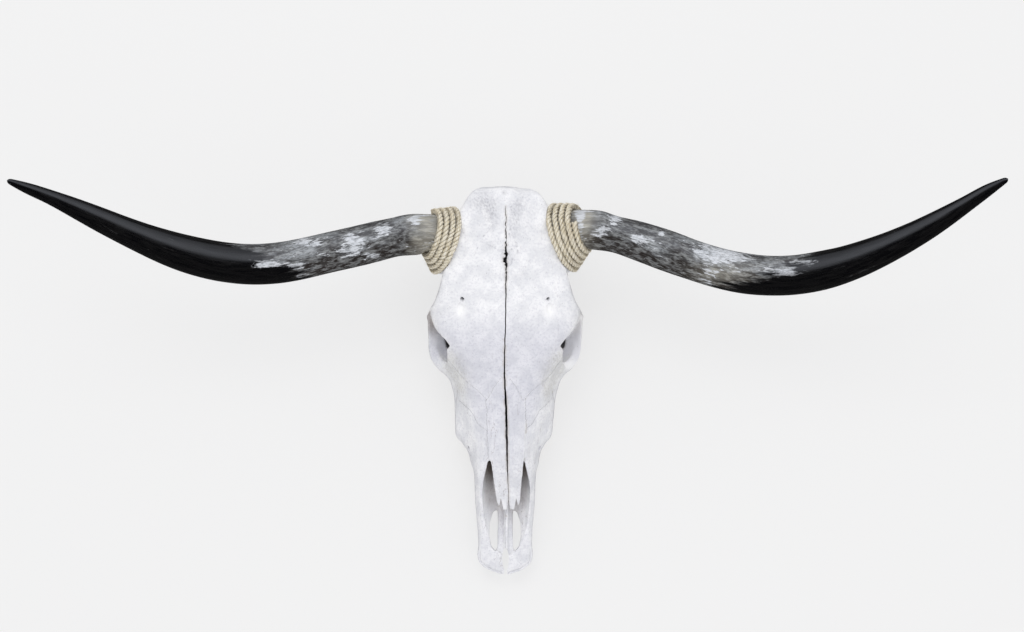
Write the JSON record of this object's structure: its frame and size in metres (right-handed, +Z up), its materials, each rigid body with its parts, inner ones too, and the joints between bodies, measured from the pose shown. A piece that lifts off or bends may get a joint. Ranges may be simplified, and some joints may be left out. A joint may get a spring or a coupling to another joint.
{
  "type": "longhorn steer skull",
  "caption": "Longhorn steer skull without its lower jaw, lying face up, with long curved polished horns and rope bound round the horn bases.",
  "frame": {"origin": "middle of the bounding box in plan, at the level of the surface it lies on", "axes": "+X across the horns, to the right as the face is looked at from above; +Y from the nose to the poll; +Z up, out of the face"},
  "size_m": [1.2786, 0.5092, 0.2839],
  "materials": {
    "bone": "bleached bone, matt, faintly mottled grey",
    "horn": "polished horn, black at the tips, mottled grey and white towards the base",
    "rope": "pale tan sisal, three strands laid together, hairy"
  },
  "bodies": {
    "root": {"cranium": "bone", "nasal_right": "bone", "nasal_left": "bone", "lacrimal_right": "bone", "lacrimal_left": "bone", "zygomatic_right": "bone", "zygomatic_left": "bone", "maxilla_right": "bone", "maxilla_left": "bone", "premaxilla_right": "bone", "premaxilla_left": "bone", "horn_right": "horn", "horn_left": "horn", "rope_right": "rope", "rope_left": "rope"}
  },
  "joints": []
}
